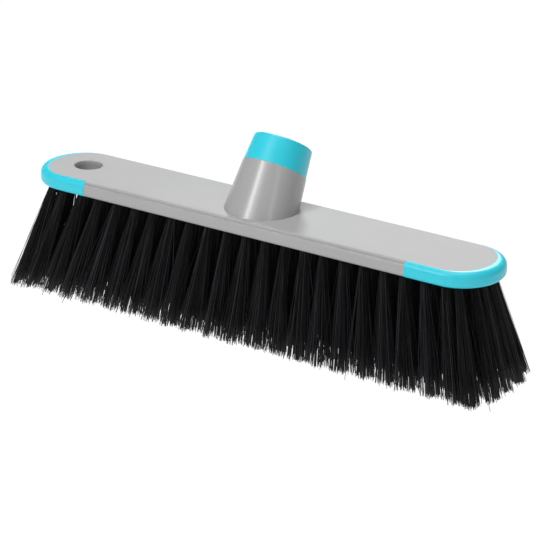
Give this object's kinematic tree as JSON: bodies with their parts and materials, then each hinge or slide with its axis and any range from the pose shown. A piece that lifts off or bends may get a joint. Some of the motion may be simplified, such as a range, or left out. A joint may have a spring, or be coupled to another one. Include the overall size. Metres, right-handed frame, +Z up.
{
  "type": "broom head",
  "caption": "Hand broom head: flat block with rounded ends, leaning threaded handle socket, soft end bumpers, hang hole and staple-set tufts.",
  "frame": {"origin": "middle of the bristle tips, where the centre tuft meets the floor", "axes": "+X along the head away from the hang hole, +Y to the side that the handle socket leans to, +Z up from the bristle tips"},
  "size_m": [0.3222, 0.0691, 0.1131],
  "materials": {
    "grey_plastic": "satin",
    "turquoise_rubber": "matte",
    "black_bristle": "satin",
    "staple_wire": "satin"
  },
  "bodies": {
    "head": {"top_cover": "grey_plastic", "brush_board": "grey_plastic", "handle_socket": "grey_plastic", "socket_collar": "turquoise_rubber", "end_bumper_left": "turquoise_rubber", "end_bumper_right": "turquoise_rubber", "roots_front": "black_bristle", "roots_front_inner": "black_bristle", "roots_centre": "black_bristle", "roots_rear_inner": "black_bristle", "roots_rear": "black_bristle", "staples_front": "staple_wire", "staples_front_inner": "staple_wire", "staples_centre": "staple_wire", "staples_rear_inner": "staple_wire", "staples_rear": "staple_wire"},
    "front_row": {"bristles_front": "black_bristle"},
    "front_inner_row": {"bristles_front_inner": "black_bristle"},
    "centre_row": {"bristles_centre": "black_bristle"},
    "rear_inner_row": {"bristles_rear_inner": "black_bristle"},
    "rear_row": {"bristles_rear": "black_bristle"}
  },
  "joints": [
    {"name": "centre_bend", "type": "hinge", "parent": "head", "child": "centre_row", "pos_m": [0, 0, 0.062], "axis": [1, 0, 0], "range_deg": [-15, 15], "stiffness_Nm_per_rad": 0.25},
    {"name": "front_bend", "type": "hinge", "parent": "head", "child": "front_row", "pos_m": [0, -0.018, 0.062], "axis": [1, 0, 0], "range_deg": [-15, 15], "stiffness_Nm_per_rad": 0.25},
    {"name": "front_inner_bend", "type": "hinge", "parent": "head", "child": "front_inner_row", "pos_m": [0, -0.009, 0.062], "axis": [1, 0, 0], "range_deg": [-15, 15], "stiffness_Nm_per_rad": 0.25},
    {"name": "rear_inner_bend", "type": "hinge", "parent": "head", "child": "rear_inner_row", "pos_m": [0, 0.009, 0.062], "axis": [1, 0, 0], "range_deg": [-15, 15], "stiffness_Nm_per_rad": 0.25},
    {"name": "rear_bend", "type": "hinge", "parent": "head", "child": "rear_row", "pos_m": [0, 0.018, 0.062], "axis": [1, 0, 0], "range_deg": [-15, 15], "stiffness_Nm_per_rad": 0.25}
  ],
  "couplings": [
    {"joint": "front_bend", "follows": "centre_bend", "ratio": 1},
    {"joint": "front_inner_bend", "follows": "centre_bend", "ratio": 1},
    {"joint": "rear_inner_bend", "follows": "centre_bend", "ratio": 1},
    {"joint": "rear_bend", "follows": "centre_bend", "ratio": 1}
  ]
}
